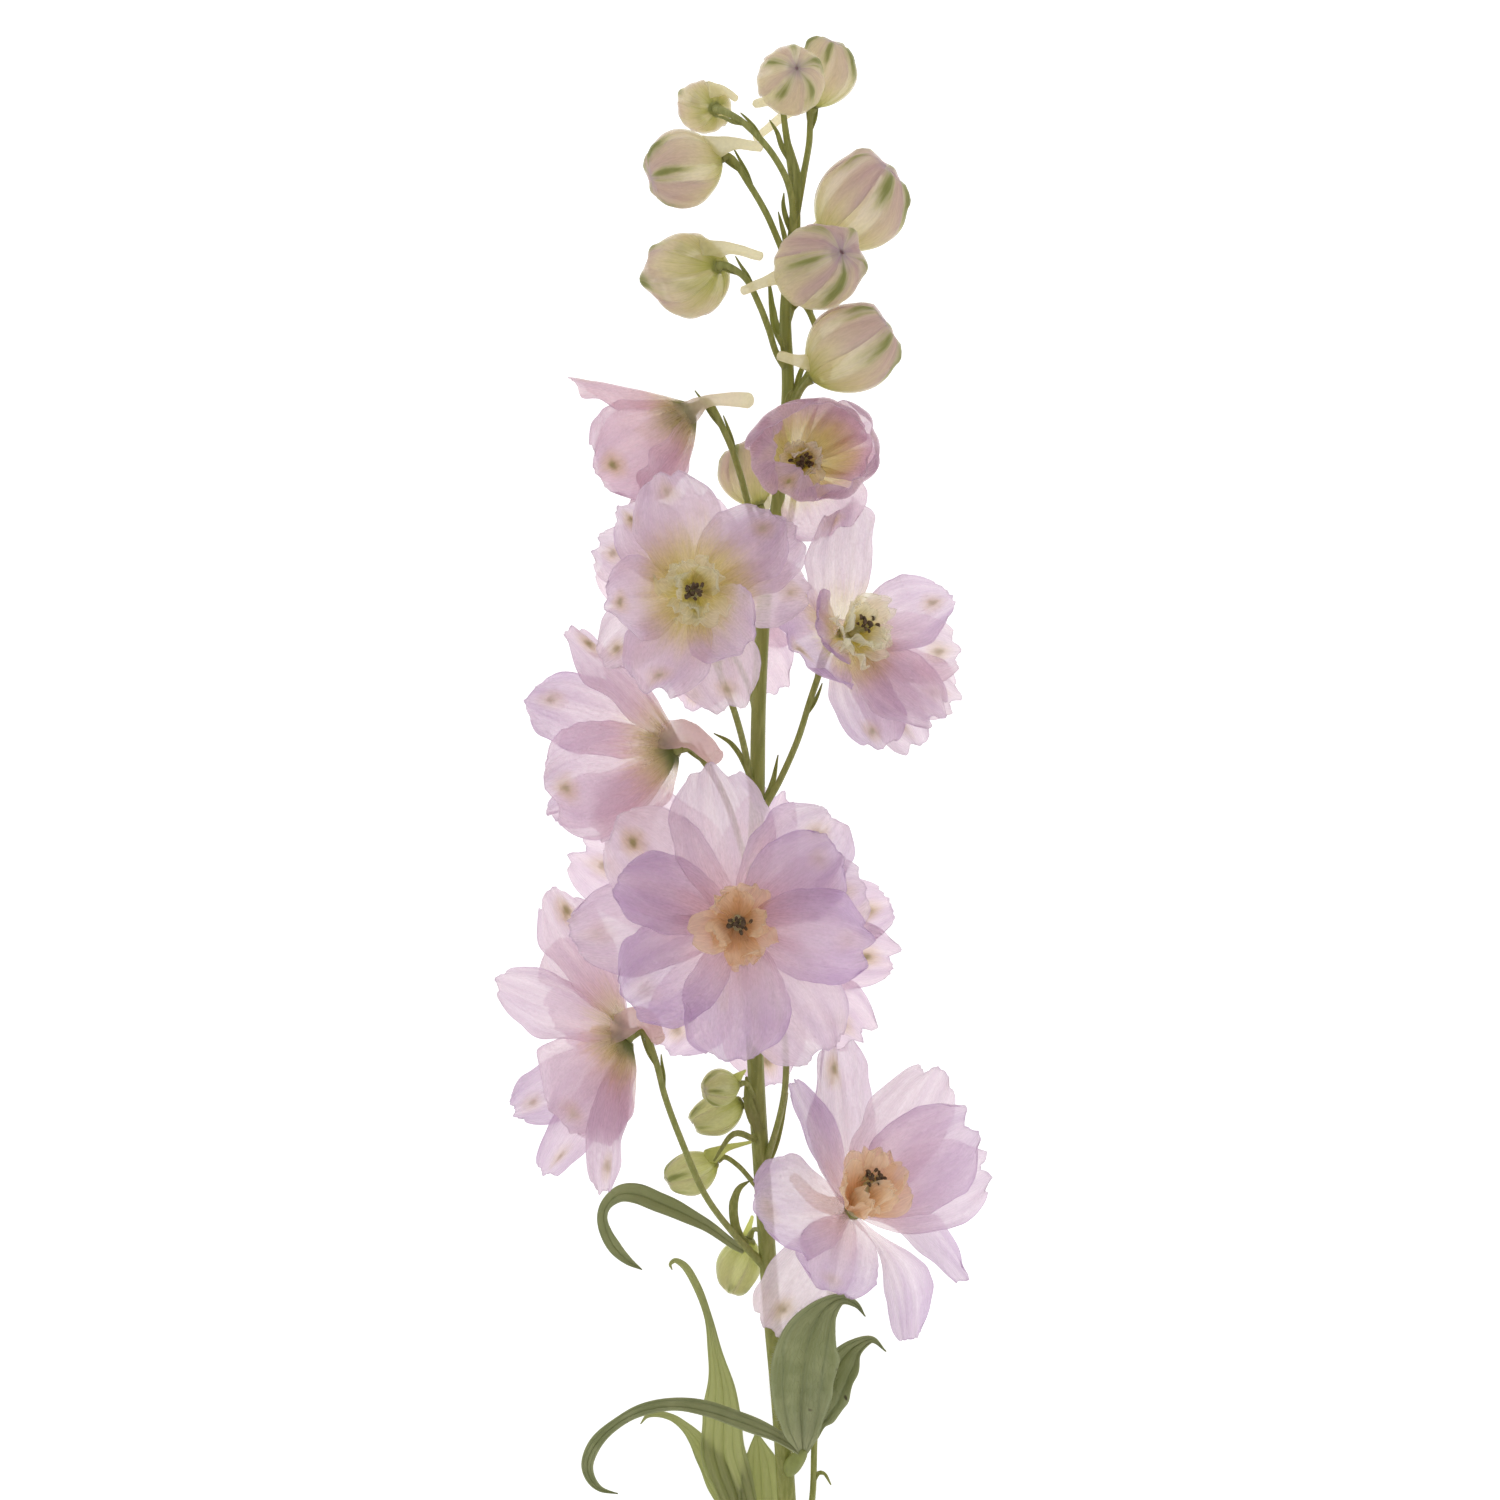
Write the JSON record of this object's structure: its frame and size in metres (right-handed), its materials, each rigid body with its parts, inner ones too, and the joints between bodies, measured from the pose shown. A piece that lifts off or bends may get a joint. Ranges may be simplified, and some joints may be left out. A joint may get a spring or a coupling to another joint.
{
  "type": "delphinium flower spike",
  "caption": "Cut spike of a semi-double lilac delphinium lying on its back, with open blooms, spurred buds, stalks, bracts and lobed leaves.",
  "frame": {"origin": "middle of the bounding box's underside, on the surface that the spike lies on", "axes": "+Y up the spike from the cut foot to the buds, +Z away from the surface, towards the viewer of the front flowers, +X to that viewer's right"},
  "size_m": [0.1036, 0.3336, 0.0843],
  "materials": {
    "sepal_lilac": "thin translucent petal, satin, pale lilac with fine veins",
    "bee_cream": "thin translucent petal, cream-yellow",
    "bee_peach": "thin translucent petal, peach",
    "anther_dark": "matt, dark brown",
    "bud_cream": "satin, cream with pink and green veins",
    "bud_green": "satin, yellow-green",
    "stem_green": "satin olive green, finely haired",
    "leaf_green": "matt grey-green with paler veins"
  },
  "bodies": {
    "root": {"main_stem": "stem_green", "bloom_lower_right_sepals": "sepal_lilac", "bloom_lower_right_bee": "bee_peach", "bloom_lower_right_stamens": "anther_dark", "bloom_lower_left_sepals": "sepal_lilac", "bloom_lower_left_bee": "bee_peach", "bloom_lower_left_stamens": "anther_dark", "bloom_large_front_sepals": "sepal_lilac", "bloom_large_front_bee": "bee_peach", "bloom_large_front_stamens": "anther_dark", "bloom_large_back_sepals": "sepal_lilac", "bloom_large_back_bee": "bee_peach", "bloom_large_back_stamens": "anther_dark", "bloom_middle_left_sepals": "sepal_lilac", "bloom_middle_left_bee": "bee_cream", "bloom_middle_left_stamens": "anther_dark", "bloom_middle_right_sepals": "sepal_lilac", "bloom_middle_right_bee": "bee_cream", "bloom_middle_right_stamens": "anther_dark", "bloom_middle_front_sepals": "sepal_lilac", "bloom_middle_front_bee": "bee_cream", "bloom_middle_front_stamens": "anther_dark", "bloom_middle_back_sepals": "sepal_lilac", "bloom_middle_back_bee": "bee_cream", "bloom_middle_back_stamens": "anther_dark", "bloom_upper_front_sepals": "sepal_lilac", "bloom_upper_front_bee": "bee_cream", "bloom_upper_front_stamens": "anther_dark", "bloom_upper_left_sepals": "sepal_lilac", "bloom_upper_left_bee": "bee_cream", "bloom_upper_left_stamens": "anther_dark", "bud_1": "bud_cream", "bud_2": "bud_cream", "bud_3": "bud_cream", "bud_4": "bud_cream", "bud_5": "bud_cream", "bud_6": "bud_cream", "bud_7": "bud_cream", "bud_8": "bud_cream", "bud_9": "bud_cream", "small_bud_1": "bud_green", "small_bud_2": "bud_green", "small_bud_3": "bud_green", "small_bud_4": "bud_green", "leaf_right": "leaf_green", "leaf_left": "leaf_green", "leaf_strap": "leaf_green"}
  },
  "joints": []
}
